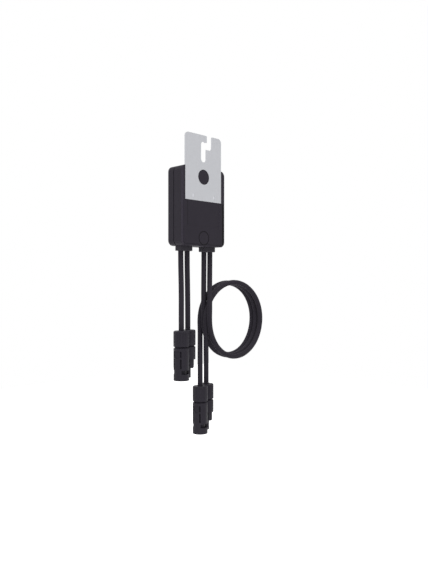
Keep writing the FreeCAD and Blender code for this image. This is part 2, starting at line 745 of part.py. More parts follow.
def clamp_ring(connector):
    body = connector_body(connector, "clamp_ring")
    top = "-nut_top - nut_dome"
    turned(body, "ring", [
        ("cable_radius", top), ("neck_bore", top),
        ("neck_radius - nut_play", "-nut_top - 2 * nut_dome"),
        ("neck_radius - nut_play", "-neck_start"),
        ("cable_radius", "-neck_start")])
    drawing = sketch(body, "slit_outline", depth="neck_radius")
    rectangle(drawing, "-slit_width / 4", "slit_width / 4", "-neck_start + slit_width",
              "-nut_top")
    slit = pocket(body, "slit", drawing, "neck_radius")
    repeat(body, "slits", slit, CLAMP_SLITS)
    return node(body, connector + "_clamp_ring")


def cable_seal(connector):
    body = connector_body(connector, "cable_seal")
    top = "-neck_start"
    end = "-neck_start - seal_length"
    turned(body, "seal", [("cable_radius", top), ("neck_bore", top), ("neck_bore", end),
                          ("cable_radius", end)])
    return node(body, connector + "_cable_seal")


def cable_seat():
    """Corners of the bores that hold the seal and the cable's end, from the neck down."""
    seal_end = "-neck_start - seal_length"
    return [("neck_bore", "-neck_start"), ("neck_bore", seal_end), ("cable_radius", seal_end),
            ("cable_radius", "-%s" % CABLE_END)]


def neck_outside():
    """Corners of the outside from the body's shoulder up to the top of the neck."""
    waist = "-nut_length - nut_taper - nut_play"
    return [("body_radius", "%s - body_shoulder" % waist), ("neck_waist", waist),
            ("neck_radius", waist), ("neck_radius", "-neck_start")]


def sleeve_body(connector):
    body = connector_body(connector, "body")
    hole = "contact_radius + contact_play"
    bore = "nose_radius + barrel_play"
    inner = "body_radius - sleeve_wall"
    turned(body, "sleeve", cable_seat() + [
        (hole, "-%s" % CABLE_END), (hole, "-bore_start"), (bore, "-bore_start"),
        (bore, "-barrel_end"), ("barrel_radius", "-barrel_end"),
        ("barrel_radius", "-gap_start"), (inner, "-gap_start"), (inner, "-sleeve_length"),
        ("body_radius", "-sleeve_length")] + neck_outside())

    # A strip with a thumb recess between two grooves, and two slits below, on both sides
    drawing = sketch(body, "slit_outlines", depth="slit_floor", turn=-90)
    for side in ("-", "+"):
        middle = "%s slit_offset" % side
        rectangle(drawing, middle + " - slit_width / 2", middle + " + slit_width / 2",
                  "-slit_end", "-slit_top")
    slits = pocket(body, "slits", drawing, "body_radius - slit_floor + 1", reverse=True)
    repeat(body, "all_slits", slits, 2)
    drawing = sketch(body, "line_outlines", depth="line_floor", turn=-90)
    for side in ("-", "+"):
        middle = "%s slit_offset" % side
        rectangle(drawing, middle + " - slit_width / 2", middle + " + slit_width / 2",
                  "-line_end", "-line_top")
    lines = pocket(body, "lines", drawing, "body_radius - line_floor + 1", reverse=True)
    repeat(body, "all_lines", lines, 2)

    drawing = sketch(body, "thumb_outline", depth="thumb_floor", turn=-90)
    rectangle(drawing, "-thumb_width / 2", "thumb_width / 2", "-thumb_round", "-thumb_top")
    thumb = pocket(body, "thumb", drawing, "body_radius - thumb_floor + 1", reverse=True)
    repeat(body, "thumbs", thumb, 2)
    drawing = sketch(body, "thumb_end_circle", depth="thumb_floor", turn=-90)
    circle(drawing, "0", "-thumb_round", "thumb_width / 2")
    thumb_end = pocket(body, "thumb_end", drawing, "body_radius - thumb_floor + 1", reverse=True)
    repeat(body, "thumb_ends", thumb_end, 2)

    # Two latch windows, a quarter turn from the strips
    drawing = sketch(body, "window_outline", turn=-90 - size("window_angle") / 2)
    rectangle(drawing, "body_radius - sleeve_wall - 0.1", "body_radius + 1",
              "-window_end", "-window_top")
    window = body.newObject("PartDesign::Groove", "window")
    window.Profile = drawing
    window.ReferenceAxis = (drawing, ["V_Axis"])
    bind(window, Angle="window_angle")
    repeat(body, "windows", window, 2)
    return node(body, connector + "_body")


def plug_body(connector):
    body = connector_body(connector, "body")
    hole = "socket_radius + contact_play"
    mouth = "pin_radius + socket_play"
    turned(body, "plug", cable_seat() + [
        (hole, "-%s" % CABLE_END), (hole, "-nose_end + nose_lip"),
        (mouth, "-nose_end + nose_lip"), (mouth, "-nose_end"), ("nose_radius", "-nose_end"),
        ("nose_radius", "-plug_shoulder"), ("body_radius", "-plug_shoulder")]
        + neck_outside())
    for name, side in (("front", "-"), ("back", "")):
        outer = "(body_radius - sleeve_wall - finger_play)"
        near_side = "%s%s" % (side, outer)
        far_side = "%s(%s - finger_thickness)" % (side, outer)
        drawing = sketch(body, name + "_finger_outline", "XY_Plane", "-plug_shoulder + 1")
        rectangle(drawing, "-finger_width / 2", "finger_width / 2", far_side, near_side)
        pad(body, name + "_finger", drawing, "finger_end - plug_shoulder + 1", reverse=True)
    tip = -size("finger_end")
    rounded(body, "finger_tips", body.Tip,
            lambda middle, direction: along(direction, 1) and near(middle.z, tip),
            "finger_width / 3")
    return node(body, connector + "_body")


def pin_contact(connector):
    body = connector_body(connector, "contact")
    turned(body, "pin", [
        ("0", "-%s" % CABLE_END), ("contact_radius", "-%s" % CABLE_END),
        ("contact_radius", "-bore_start"), ("pin_radius", "-bore_start"),
        ("pin_radius", "-pin_end"), ("pin_radius / 2", "-pin_end - pin_tip"),
        ("0", "-pin_end - pin_tip")])
    return node(body, connector + "_contact")


def socket_contact(connector):
    body = connector_body(connector, "contact")
    end = "-nose_end + nose_lip"
    hole = "pin_radius + socket_play"
    turned(body, "socket", [
        ("0", "-%s" % CABLE_END), ("socket_radius", "-%s" % CABLE_END),
        ("socket_radius", end), (hole, end), (hole, end + " + socket_depth"),
        ("0", end + " + socket_depth")])
    return node(body, connector + "_contact")


def nose_seal(connector):
    body = connector_body(connector, "nose_seal")
    outer = "nose_radius + nose_seal_thickness"
    top = "-plug_shoulder - nose_seal_start"
    end = "%s - nose_seal_length" % top
    turned(body, "seal", [("nose_radius", top), (outer, top), (outer, end),
                          ("nose_radius", end)])
    return node(body, connector + "_nose_seal")


# Cables. A route is straight runs between hand-set points, joined by arcs.

ROUND = 0.45


def point(across, deep, up):
    return Vector(across, deep, up - size("housing_height") - size("hang_rise"))


def boot_hole(side, shift):
    """Where a cable passes its boot: side and shift are -1 or 1."""
    offset = size("housing_width") / 2 - size("boot_margin")
    across = side * offset + shift * size("cable_pitch") / 2
    return across, size("boot_middle")


def into_connector(connector):
    """The last two points of a route, straight down a connector's axis."""
    kind, place, drop, turn = CONNECTORS[connector]
    top = -size(drop)
    end = top - size("neck_start") - size("seal_length") - size("stop_length")
    return [(place.x, place.y, top + size("lead_length")), (place.x, place.y, end)]


def route_wire(label, route):
    """The runs and arcs of a route, and the smallest radius of its arcs."""
    points = [point(*place) for place in route]
    edges = []
    start = points[0]
    smallest = math.inf
    for before, corner, after in zip(points, points[1:], points[2:]):
        back = before - corner
        ahead = after - corner
        shorter = min(back.Length, ahead.Length)
        half_turn = (math.pi - back.getAngle(ahead)) / 2
        reach = ROUND * shorter
        smallest = min(smallest, reach / math.tan(half_turn))
        back.normalize()
        ahead.normalize()
        arc_start = corner + back * reach
        arc_end = corner + ahead * reach
        middle = (arc_start + arc_end) / 2
        inward = middle - corner
        depth = inward.Length
        inward.normalize()
        radius = reach / math.tan(half_turn)
        sag = math.hypot(reach, radius) - radius
        edges.append(Part.LineSegment(start, arc_start).toShape())
        edges.append(Part.Arc(arc_start, corner + inward * sag, arc_end).toShape())
        start = arc_end
    edges.append(Part.LineSegment(start, points[-1]).toShape())
    wire = Part.Wire(edges)
    print("%s: length %.1f mm, smallest radius %.1f mm" % (label, wire.Length, smallest))
    return wire


def tube(label, route, cutters=()):
    """A cable along a route. The cutters are the windings that it runs into."""
    wire = route_wire(label, route)
    direction = wire.Edges[0].valueAt(wire.Edges[0].LastParameter) - wire.Edges[0].valueAt(0)
    start = point(*route[0])
    radius = size("cable_radius")
    section = Part.Wire([Part.Circle(start, direction, radius).toShape()])
    solid = wire.makePipeShell([section], True, True)
    expected = math.pi * radius ** 2 * wire.Length
    print("%s: volume over section times length %.4f" % (label, solid.Volume / expected))
    for cutter in cutters:
        solid = solid.cut(cutter.Shape)
    piece = doc.addObject("Part::Feature", label)
    piece.Shape = solid
    return node(piece, label)


def winding(label, front, back):
    """One cable's turns, as a closed ring whose section is a rectangle with bevelled corners."""
    body = doc.addObject("PartDesign::Body", label)
    bind(body, Placement_Base_x="coil_across", Placement_Base_z="-coil_drop - %s" % HANG)
    drawing = sketch(body, "section", "XY_Plane")
    inner = "coil_radius - cable_radius"
    outer = "coil_radius + cable_radius"
    corners = [(inner, front, 1, 1), (outer, front, -1, 1),
               (outer, back, -1, -1), (inner, back, 1, -1)]
    points = []
    for index, (across, deep, right, rear) in enumerate(corners):
        beside = ("%s %s coil_edge" % (across, "+" if right > 0 else "-"), deep)
        behind = (across, "%s %s coil_edge" % (deep, "+" if rear > 0 else "-"))
        points += [behind, beside] if index % 2 == 0 else [beside, behind]
    polygon(drawing, points)
    ring = body.newObject("PartDesign::Revolution", "ring")
    ring.Profile = drawing
    ring.ReferenceAxis = (drawing, ["V_Axis"])
    ring.Angle = 360
    return node(body, label)


# Inside the housing

BOARD_BACK = "(%s - post_length)" % INNER_REAR
BOARD_FRONT = "(%s - board_thickness)" % BOARD_BACK
CORE_ACROSS = "(-%s + core_margin + winding_wire + core_radius)" % BOARD_SIDE
CORE_UP = "(%s - core_drop - winding_wire - core_radius)" % BOARD_TOP


def circuit_board():
    board = block("board_sheet", ("-" + BOARD_SIDE, BOARD_SIDE), (BOARD_FRONT, BOARD_BACK),
                  ("board_bottom", BOARD_TOP))
    holes = [rod("board_hole_%d" % index, "screw_radius", "board_thickness + 2",
                 (across, BOARD_FRONT + " - 1", up), "Y")
             for index, (across, up) in enumerate(post_places())]
    return node(cut("circuit_board", board, together("MultiFuse", "board_holes", holes)),
                "circuit_board")


def board_screws():
    screws = []
    for index, (across, up) in enumerate(post_places()):
        shank = rod("screw_shank_%d" % index, "screw_radius", "screw_length",
                    (across, BOARD_FRONT, up), "Y")
        head = rod("screw_head_%d" % index, "screw_head_radius", "screw_head_height",
                   (across, BOARD_FRONT + " - screw_head_height", up), "Y")
        screws.append(together("MultiFuse", "screw_%d" % index, [shank, head]))
    return node(together("Compound", "board_screws", screws), "board_screws")


def inductor():
    front = BOARD_FRONT + " - winding_wire - core_length"
    core = cut("core",
               rod("core_disc", "core_radius", "core_length",
                   (CORE_ACROSS, front, CORE_UP), "Y"),
               rod("core_bore", "core_hole", "core_length",
                   (CORE_ACROSS, front, CORE_UP), "Y"))
    node(core, "inductor_core")

    outer = size("core_radius") + size("winding_wire")
    inner = size("core_hole") - size("winding_wire")
    height = size("core_length") + 2 * size("winding_wire")
    width = size("winding_wire")
    loops = []
    for index in range(TURNS):
        frame = Part.makeBox(outer - inner, height, width, Vector(inner, 0, -width / 2))
        window = Part.makeBox(size("core_radius") - size("core_hole"), size("core_length"),
                              width, Vector(size("core_hole"), width, -width / 2))
        loop = frame.cut(window)
        loop.rotate(Vector(), Vector(0, 1, 0), 360.0 * index / TURNS)
        loops.append(loop)
    winding_piece = doc.addObject("Part::Feature", "inductor_winding")
    winding_piece.Shape = Part.makeCompound(loops).cut(core_copy())
    bind(winding_piece, Placement_Base_x=CORE_ACROSS,
         Placement_Base_y=front + " - winding_wire",
         Placement_Base_z="%s - %s" % (CORE_UP, HANG))
    node(winding_piece, "inductor_winding")


def core_copy():
    """The core in the winding's own place, which the loops must not enter."""
    start = Vector(0, size("winding_wire"), 0)
    disc = Part.makeCylinder(size("core_radius"), size("core_length"), start, Vector(0, 1, 0))
    bore = Part.makeCylinder(size("core_hole"), size("core_length"), start, Vector(0, 1, 0))
    return disc.cut(bore)


def capacitors():
    films = []
    for index in range(3):
        left = "-%s + film_margin + %d * (film_width + film_gap)" % (BOARD_SIDE, index)
        low = "board_bottom + film_rise"
        films.append(block("film_%d" % index, (left, left + " + film_width"),
                           (BOARD_FRONT + " - film_depth", BOARD_FRONT),
                           (low, low + " + film_height")))
    node(together("Compound", "film_capacitors", films), "film_capacitors")
    cans = []
    for index in range(2):
        up = "board_bottom + can_rise + can_radius + %d * (2 * can_radius + can_gap)" % index
        cans.append(rod("can_%d" % index, "can_radius", "can_length",
                        ("%s - can_margin - can_length" % BOARD_SIDE,
                         BOARD_FRONT + " - can_radius", up), "X"))
    node(together("Compound", "bulk_capacitors", cans), "bulk_capacitors")


def controller_chip():
    right = "%s - chip_margin" % BOARD_SIDE
    chip = block("chip", (right + " - chip_size", right),
                 (BOARD_FRONT + " - chip_thickness", BOARD_FRONT),
                 (CORE_UP + " - chip_size / 2", CORE_UP + " + chip_size / 2"))
    return node(chip, "controller_chip")


def power_stage():
    """Four transistors behind the board, a pad and the heat spreader on the rear wall."""
    low = "board_bottom + spreader_rise"
    high = "%s - spreader_drop" % BOARD_TOP
    parts = []
    for index in range(4):
        across = "%s transistor_pitch / 2" % ("-" if index % 2 else "+")
        up = "(%s + %s) / 2 %s transistor_pitch / 2" % (low, high, "-" if index < 2 else "+")
        parts.append(block("transistor_%d" % index,
                           (across + " - transistor_width / 2", across + " + transistor_width / 2"),
                           (BOARD_BACK, BOARD_BACK + " + transistor_thickness"),
                           (up + " - transistor_height / 2", up + " + transistor_height / 2")))
    transistors = node(together("Compound", "power_transistors", parts), "power_transistors")
    pad_start = BOARD_BACK + " + transistor_thickness"
    spreader_start = INNER_REAR + " - spreader_thickness"
    across = ("-%s + spreader_margin" % BOARD_SIDE, "%s - spreader_margin" % BOARD_SIDE)
    up = (low, high)
    cushion = node(block("pad", across, (pad_start, spreader_start), up), "thermal_pad")
    spreader = node(block("spreader", across, (spreader_start, INNER_REAR), up),
                    "heat_spreader")
    return [transistors, cushion, spreader]


def cable_terminals():
    """One metal terminal for each cable, on the board's front and over the cable's end."""
    parts = []
    for index, (side, shift) in enumerate((("-", "-"), ("-", "+"), ("+", "-"), ("+", "+"))):
        middle = "%s%s %s cable_pitch / 2" % (side, BOOT_OFFSET, shift)
        parts.append(block("terminal_%d" % index,
                           (middle + " - terminal_width / 2", middle + " + terminal_width / 2"),
                           ("boot_middle - cable_radius", BOARD_FRONT),
                           ("cable_inside", "board_bottom - terminal_drop + terminal_height")))
    return node(together("Compound", "cable_terminals", parts), "cable_terminals")


def potting_compound(buried):
    """Fills the space between the board and the rear wall, around what is in it."""
    fill = block("fill", ("-" + BOARD_SIDE, BOARD_SIDE), (BOARD_BACK, INNER_REAR),
                 ("board_bottom", BOARD_TOP))
    piece = cut("potting", fill, together("MultiFuse", "buried", buried))
    return node(piece, "potting_compound")


front_shell()
cover = rear_cover()
mounting_plate()
cable_boot("cable_boot_left", "-")
cable_boot("cable_boot_right", "+")

for connector, (kind, place, drop, turn) in CONNECTORS.items():
    cap_nut(connector)
    clamp_ring(connector)
    cable_seal(connector)
    if kind == "sleeve":
        sleeve_body(connector)
        pin_contact(connector)
    else:
        plug_body(connector)
        socket_contact(connector)
        nose_seal(connector)

front_coil = winding("cable_coil_front", "coil_front", "coil_middle")
rear_coil = winding("cable_coil_rear", "coil_middle", "coil_back")
doc.recompute()

INSIDE = size("cable_inside")
LEFT_SLEEVE = boot_hole(-1, -1)
LEFT_PLUG = boot_hole(-1, 1)
RIGHT_SLEEVE = boot_hole(1, -1)
RIGHT_PLUG = boot_hole(1, 1)
tube("input_sleeve_cable", [
    (*LEFT_SLEEVE, INSIDE),
    (*LEFT_SLEEVE, -20.0),
    (-25.2, 12.3, -50.0),
] + into_connector("input_sleeve"))
tube("input_plug_cable", [
    (*LEFT_PLUG, INSIDE),
    (*LEFT_PLUG, -20.0),
    (-11.6, 15.7, -50.0),
] + into_connector("input_plug"))
tube("output_sleeve_cable_upper", [
    (*RIGHT_SLEEVE, INSIDE),
    (*RIGHT_SLEEVE, -20.0),
    (17.6, 18.6, -48.0),
    (18.6, 20.1, -78.0),
], (front_coil, rear_coil))
tube("output_plug_cable_upper", [
    (*RIGHT_PLUG, INSIDE),
    (*RIGHT_PLUG, -20.0),
    (20.6, 8.8, -48.0),
    (18.9, 7.3, -78.0),
], (front_coil, rear_coil))
tube("output_sleeve_cable_lower", [
    (18.5, 26.5, -100.0),
    (18.3, 25.9, -117.0),
    (14.8, 22.0, -135.0),
] + into_connector("output_sleeve"), (front_coil, rear_coil))
tube("output_plug_cable_lower", [
    (18.5, 13.7, -100.0),
    (19.4, 14.6, -117.0),
    (25.9, 22.1, -135.0),
] + into_connector("output_plug"), (front_coil, rear_coil))

circuit_board()
screws = board_screws()
inductor()
capacitors()
controller_chip()
cable_terminals()
potting_compound([cover, screws, *power_stage()])

doc.recompute()
for thing in doc.Objects:
    if "Invalid" in thing.State or "Error" in thing.State:
        raise RuntimeError("%s failed: %s" % (thing.Label, thing.State))
for thing in nodes:
    shape = thing.Shape
    if shape.isNull() or not shape.isValid():
        raise RuntimeError(thing.Label + " has no valid shape")

os.makedirs("parts", exist_ok=True)
for thing in nodes:
    thing.Shape.exportStep("parts/%s.step" % thing.Label)
    print("%-30s solids %d volume %10.1f mm3" % (
        thing.Label, len(thing.Shape.Solids), thing.Shape.Volume))
print(len(nodes), "nodes")
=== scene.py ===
"""A solar power optimizer, hung by its slotted plate, with its cables and connectors.

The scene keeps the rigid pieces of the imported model, gives them their finishes, and lays the
four cables as smooth curves, two of them wound into a ring.
"""
import json
import math

import bpy
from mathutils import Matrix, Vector


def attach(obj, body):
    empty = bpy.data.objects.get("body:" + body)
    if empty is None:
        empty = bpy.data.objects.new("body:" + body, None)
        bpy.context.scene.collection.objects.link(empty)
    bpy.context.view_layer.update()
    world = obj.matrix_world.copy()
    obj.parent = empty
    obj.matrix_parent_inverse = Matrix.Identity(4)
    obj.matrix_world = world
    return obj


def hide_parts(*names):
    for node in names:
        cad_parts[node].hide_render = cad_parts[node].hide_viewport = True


MM = 0.001
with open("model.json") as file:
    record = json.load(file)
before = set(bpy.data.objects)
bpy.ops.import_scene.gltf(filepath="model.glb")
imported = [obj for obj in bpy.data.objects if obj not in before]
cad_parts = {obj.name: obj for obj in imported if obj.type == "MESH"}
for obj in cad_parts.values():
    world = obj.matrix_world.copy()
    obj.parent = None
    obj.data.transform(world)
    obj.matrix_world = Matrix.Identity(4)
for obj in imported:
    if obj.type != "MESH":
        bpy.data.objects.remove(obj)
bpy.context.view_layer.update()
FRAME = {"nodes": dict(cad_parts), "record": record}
NODES = FRAME["nodes"]

# Sizes and places of the housing and the plate, in millimetres. Heights count from the bottom of
# the housing, which lies HANG_HEIGHT below the frame's origin.
HANG_HEIGHT = 119.9
HOUSING_WIDTH = 71.0
HOUSING_HEIGHT = 93.0
PANEL_SIDE = 32.3
PANEL_TOP = 52.0
PANEL_BOTTOM = 2.5
DIMPLE_SIDE = 17.0
DIMPLE_UP = 59.0
LABEL_SIDE = 26.1
LABEL_BOTTOM = 23.7
MARK_UP = 9.6
MARK_RADIUS = 8.0

# Places that the cables follow, in millimetres
BOOT_OFFSET = 19.0
BOOT_DEPTH = 14.0
BOOT_STRAIGHT = -20.0
CABLE_PITCH = 10.1
CABLE_DIAMETER = 6.3
CABLE_INSIDE = 9.0
NUT_STRAIGHT = 16.0
CABLE_IN_CONNECTOR = 20.8
INPUT_NUT_DROP = 99.5
OUTPUT_NUT_DROP = 169.4
RING_CENTRE = (65.0, -89.6)
RING_RADIUS = 47.0
TURN_POINTS = 24
STRAND_STEP = 6.6

CONNECTOR_PLACES = {
    "input_sleeve": (-26.25, 10.45, INPUT_NUT_DROP),
    "input_plug": (-9.2, 17.9, INPUT_NUT_DROP),
    "output_sleeve": (12.65, 19.35, OUTPUT_NUT_DROP),
    "output_plug": (30.0, 26.5, OUTPUT_NUT_DROP),
}

# Camera, with the picture's height in pixels and its place as metres() takes it
PICTURE_HEIGHT = 571
FOCAL_PIXELS = 597.5
SENSOR = 36.0
CAMERA_PLACE = (-493.1, -510.4, -46.6)
CAMERA_HEADING = -45.0

# Studio, in metres and watts: each lamp's name, place, size and power
FLOOR_SIZE = 12.0
FLOOR_DROP = 1.35
FLOOR_GREY = 0.8
WORLD_STRENGTH = 0.5
LAMP_TARGET = (0.02, 0.0, -0.17)
LAMPS = [
    ("key", (-0.4, -0.75, 1.45), 1.2, 21.0),
    ("side", (-0.9, 1.2, 0.2), 1.2, 1.9),
    ("under", (-0.6, -0.6, -1.25), 1.0, 7.0),
]


def metres(across, deep, up):
    """A point of the frame from millimetres, its height counted from the housing's bottom."""
    return Vector((across, deep, up - HANG_HEIGHT)) * MM


# Material nodes

def new_material(name):
    made = bpy.data.materials.new(name)
    made.use_nodes = True
    return made, made.node_tree


def add(tree, kind, **inputs):
    """A new node. An input's name is written with underscores for spaces."""
    made = tree.nodes.new(kind)
    for name, given in inputs.items():
        made.inputs[name.replace("_", " ")].default_value = given
    return made


def calculate(tree, operation, first, second, third=None):
    """The result of a math node for a socket and a second socket or number."""
    made = tree.nodes.new("ShaderNodeMath")
    made.operation = operation
    tree.links.new(first, made.inputs[0])
    if isinstance(second, float):
        made.inputs[1].default_value = second
    else:
        tree.links.new(second, made.inputs[1])
    if third is not None:
        made.inputs[2].default_value = third
    return made.outputs["Value"]


def vector_node(tree, operation, source, other=None):
    made = tree.nodes.new("ShaderNodeVectorMath")
    made.operation = operation
    tree.links.new(source, made.inputs[0])
    if other is not None:
        made.inputs[1].default_value = other
    return made


def coordinates(tree):
    return tree.nodes.new("ShaderNodeTexCoord").outputs["Object"]


def noise(tree, scale, detail, stretch=None):
    """A noise value over the surface, scale in waves per metre."""
    source = coordinates(tree)
    if stretch:
        mapping = add(tree, "ShaderNodeMapping", Scale=stretch)
        tree.links.new(source, mapping.inputs["Vector"])
        source = mapping.outputs["Vector"]
    made = add(tree, "ShaderNodeTexNoise", Scale=scale, Detail=detail)
    tree.links.new(source, made.inputs["Vector"])
    return made.outputs["Fac"]


def spread(tree, source, low, high):
    """Maps the middle of a noise, 0.3 to 0.7, to a range."""
    made = add(tree, "ShaderNodeMapRange", From_Min=0.3, From_Max=0.7, To_Min=low, To_Max=high)
    tree.links.new(source, made.inputs["Value"])
    return made.outputs["Result"]


def around(tree, source, middle, reach):
    """Maps the middle of a noise to a range about a value."""
    return spread(tree, source, middle - reach, middle + reach)


def mix(tree, factor, first, second):
    """Mixes two colours, each a tuple or a socket, by a socket."""
    made = tree.nodes.new("ShaderNodeMix")
    made.data_type = "RGBA"
    tree.links.new(factor, made.inputs[0])
    for given, socket in ((first, made.inputs[6]), (second, made.inputs[7])):
        if isinstance(given, tuple):
            socket.default_value = (*given, 1.0)
        else:
            tree.links.new(given, socket)
    return made.outputs[2]


def bump(tree, height, distance):
    made = add(tree, "ShaderNodeBump", Strength=1.0, Distance=distance)
    tree.links.new(height, made.inputs["Height"])
    return made.outputs["Normal"]


def shade(colour, factor):
    return tuple(channel * factor for channel in colour)


def inside(tree, low, high):
    """1 where a point of the surface lies between two corners, given as metres() takes them."""
    split = tree.nodes.new("ShaderNodeSeparateXYZ")
    tree.links.new(coordinates(tree), split.inputs["Vector"])
    tests = []
    for place, least, most in zip(split.outputs, metres(*low), metres(*high)):
        tests.append(calculate(tree, "GREATER_THAN", place, least))
        tests.append(calculate(tree, "LESS_THAN", place, most))
    found = tests[0]
    for test in tests[1:]:
        found = calculate(tree, "MULTIPLY", found, test)
    return found


def on_circle(tree, low, high, radius, width):
    """1 along a circle about the middle of two corners, as seen from the front."""
    middle = (metres(*low) + metres(*high)) / 2
    shifted = vector_node(tree, "SUBTRACT", coordinates(tree), middle)
    flat = vector_node(tree, "MULTIPLY", shifted.outputs["Vector"], (1.0, 0.0, 1.0))
    distance = vector_node(tree, "LENGTH", flat.outputs["Vector"])
    return calculate(tree, "COMPARE", distance.outputs["Value"], radius * MM, width / 2 * MM)


def uneven(tree, source, colour, reach, painted_light_zones=()):
    """A colour that varies by a noise, with painted light and shade in some zones of the piece.
    """
    factor = spread(tree, source, 0.0, 1.0)
    colours = mix(tree, factor, shade(colour, 1 - reach), shade(colour, 1 + reach))
    for low, high, change, *circle in painted_light_zones:
        found = inside(tree, low, high)
        if circle:
            found = calculate(tree, "MULTIPLY", found, on_circle(tree, low, high, *circle))
        colours = mix(tree, found, colours, shade(colour, change))
    return colours


# Materials

def moulded(name, colour, roughness=0.55, specular=0.12, painted_light_zones=()):
    """Moulded plastic or rubber: a fine grain, slightly cloudy colour and uneven gloss."""
    made, tree = new_material(name)
    shader = tree.nodes["Principled BSDF"]
    clouds = noise(tree, 45.0, 3.0)
    patches = noise(tree, 1040.0, 2.0)
    grain = noise(tree, 2600.0, 3.0)
    tree.links.new(uneven(tree, clouds, colour, 0.05, painted_light_zones), shader.inputs["Base Color"])
    tree.links.new(around(tree, patches, roughness, 0.05), shader.inputs["Roughness"])
    tree.links.new(bump(tree, grain, 0.000008), shader.inputs["Normal"])
    shader.inputs["Specular IOR Level"].default_value = specular
    return made


def metal(name, colour, roughness, stretch=None, painted_light_zones=()):
    """Rolled or turned metal: a fine streak in colour, gloss and relief."""
    made, tree = new_material(name)
    shader = tree.nodes["Principled BSDF"]
    streak = noise(tree, 900.0, 4.0, stretch)
    tree.links.new(uneven(tree, streak, colour, 0.03, painted_light_zones), shader.inputs["Base Color"])
    tree.links.new(around(tree, streak, roughness, 0.06), shader.inputs["Roughness"])
    tree.links.new(bump(tree, streak, 0.00001), shader.inputs["Normal"])
    shader.inputs["Metallic"].default_value = 1.0
    return made


def cable_sheath(name, colour):
    """Extruded sheath: matt, with a faint grain and slightly cloudy colour."""
    made, tree = new_material(name)
    shader = tree.nodes["Principled BSDF"]
    clouds = noise(tree, 60.0, 2.0)
    patches = noise(tree, 700.0, 2.0)
    grain = noise(tree, 3500.0, 2.0)
    tree.links.new(uneven(tree, clouds, colour, 0.05), shader.inputs["Base Color"])
    tree.links.new(around(tree, patches, 0.55, 0.05), shader.inputs["Roughness"])
    tree.links.new(bump(tree, grain, 0.000004), shader.inputs["Normal"])
    shader.inputs["Specular IOR Level"].default_value = 0.05
    return made


HOUSING_COLOUR = (0.0262, 0.0225, 0.0312)
CABLE_COLOUR = (0.0315, 0.0280, 0.0365)
CONNECTOR_COLOUR = (0.0245, 0.0218, 0.0295)
# The boots' plastic is painted lighter than the other plastics, to offset the shade under the
# housing.
BOOT_PAINTED_LIGHT_COLOUR = (0.047, 0.043, 0.053)
PLATE_COLOUR = (0.520, 0.526, 0.550)
PLATE_STREAKS = (1.0, 1.0, 0.08)

# Zones of painted light and shade start ahead of the front and reach back to a depth, in
# millimetres.
AHEAD = -1.0
PANEL_SKIN = 0.9
CORNER_SKIN = 0.5
PLATE_SKIN = 0.6
EDGE_SHADOW = 1.3
LABEL_SHADOW = 0.5
LABEL_LIGHT = 0.2
MARK_SHADE_LINE = 0.9
MARK_REACH = MARK_RADIUS + 1.0
DIMPLE_REACH = (0.9, 1.7)


def zone(sides, heights, skin, change, *circle):
    """A box of a piece's front and a factor on its colour there: painted light above 1, painted
    shade below 1.

    With a circle's radius and line width, only the line about the box's middle changes.
    """
    (left, right), (bottom, top) = sides, heights
    return ((left, AHEAD, bottom), (right, skin, top), change, *circle)


def about(middle, reach):
    return (middle - reach, middle + reach)


PANEL_HEIGHTS = (PANEL_BOTTOM, PANEL_TOP)
LABEL_HEIGHTS = (LABEL_BOTTOM, PANEL_TOP)
HOUSING_PAINTED_LIGHT = [
    # A shadow along the raised panel's right edge
    zone(about(PANEL_SIDE, EDGE_SHADOW), PANEL_HEIGHTS, PANEL_SKIN, 0.05),
    # The left corner, which takes light from two sides
    zone((-HOUSING_WIDTH, -PANEL_SIDE + 0.1), (0.0, HOUSING_HEIGHT), CORNER_SKIN, 1.5),
    # The label recess's left edge in shade and its right edge in light
    zone(about(-LABEL_SIDE, LABEL_SHADOW), LABEL_HEIGHTS, PANEL_SKIN, 0.45),
    zone(about(LABEL_SIDE, LABEL_LIGHT), LABEL_HEIGHTS, PANEL_SKIN, 1.6),
    # Painted shade along the groove of the round mark
    zone(about(0.0, MARK_REACH), about(MARK_UP, MARK_REACH), PANEL_SKIN, 0.2,
         MARK_RADIUS, MARK_SHADE_LINE),
]
# Painted highlights on the plate's two pressed dimples.
PLATE_PAINTED_HIGHLIGHTS = [zone(about(side * DIMPLE_SIDE, DIMPLE_REACH[0]), about(DIMPLE_UP, DIMPLE_REACH[1]),
                    PLATE_SKIN, 1.25) for side in (-1, 1)]


def make_materials():
    """The finish of each of the record's material slots."""
    return {
        "housing": moulded("housing_plastic", HOUSING_COLOUR, painted_light_zones=HOUSING_PAINTED_LIGHT),
        "plate": metal("plate_metal", PLATE_COLOUR, 0.55, PLATE_STREAKS, PLATE_PAINTED_HIGHLIGHTS),
        "boot": moulded("boot_plastic_painted_light", BOOT_PAINTED_LIGHT_COLOUR, 0.6),
        "cable": cable_sheath("cable_sheath", CABLE_COLOUR),
        "connector": moulded("connector_plastic", CONNECTOR_COLOUR, 0.45),
        "clamp": moulded("clamp_plastic", (0.05, 0.05, 0.05)),
        "seal": moulded("seal_rubber", (0.015, 0.015, 0.015), 0.7),
        "contact": metal("contact_tin", (0.62, 0.61, 0.58), 0.3),
        "board": moulded("board_varnish", (0.02, 0.12, 0.05), 0.3, 0.5),
        "steel": metal("screw_steel", (0.55, 0.55, 0.56), 0.35),
        "ferrite": moulded("ferrite", (0.03, 0.03, 0.03), 0.7),
        "copper": metal("copper", (0.7, 0.35, 0.2), 0.3),
        "component": moulded("component_case", (0.2, 0.2, 0.22), 0.4, 0.5),
        "pad": moulded("thermal_pad", (0.35, 0.35, 0.36), 0.8),
        "spreader": metal("spreader_metal", (0.6, 0.6, 0.62), 0.4),
        "potting": moulded("potting", (0.05, 0.05, 0.05), 0.4, 0.5),
    }


def finish_nodes(materials):
    for entry in FRAME["record"]["subparts"]:
        piece = NODES[entry["node"]]
        piece.data.materials.clear()
        piece.data.materials.append(materials[entry["material_slot"]])


# The cables' turns in the ring

